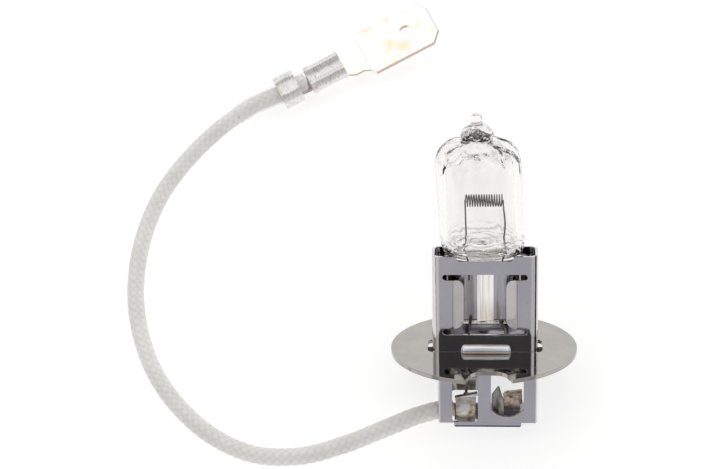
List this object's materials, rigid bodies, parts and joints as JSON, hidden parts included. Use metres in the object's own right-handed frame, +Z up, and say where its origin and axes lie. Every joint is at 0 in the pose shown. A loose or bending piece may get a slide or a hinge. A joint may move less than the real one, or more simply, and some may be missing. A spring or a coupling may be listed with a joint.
{
  "type": "headlight bulb",
  "caption": "Halogen headlight bulb with a quartz envelope, a flattened sheet-metal sleeve on a notched flange disc, and a short braided lead ending in a blade terminal.",
  "frame": {"origin": "centre of the flange disc on its seat face, the side towards the glass, where the light centre length is measured from", "axes": "+Z is up from the bench that the bulb lies on, +X runs across the flat of the sleeve to the side away from the lead, and +Y is the way the glass leans over the bench; the bulb's own axis leans in the YZ plane and is the axis of the mount flange_seat"},
  "size_m": [0.0559, 0.0636, 0.0286],
  "materials": {
    "quartz": "clear fused quartz",
    "tungsten": "dull drawn wire",
    "molybdenum": "dull foil",
    "polished_sheet": "bright rolled stainless sheet",
    "flange_steel": "satin pressed steel",
    "heat_tinted_steel": "welded, straw and brown heat tint",
    "weld": "oxidised weld",
    "glass_fibre_braid": "tight off-white braid",
    "copper_strand": "stranded wire",
    "clear_sleeving": "translucent sleeving",
    "tinned_brass": "bright tinned brass"
  },
  "bodies": {
    "root": {"quartz_envelope": "quartz", "filament_coil": "tungsten", "filament_leg_left": "tungsten", "filament_leg_right": "tungsten", "foil_left": "molybdenum", "foil_right": "molybdenum", "outer_lead_left": "molybdenum", "outer_lead_right": "molybdenum", "holder_sleeve": "polished_sheet", "flange_disc": "flange_steel", "base_cage": "polished_sheet", "tack_welds": "weld", "ground_tab": "flange_steel", "ground_clip": "heat_tinted_steel", "lead_lug": "heat_tinted_steel", "lug_weld": "weld", "cable_jacket": "glass_fibre_braid", "cable_core": "copper_strand", "shrink_sleeve": "clear_sleeving", "spade_terminal": "tinned_brass"}
  },
  "joints": []
}
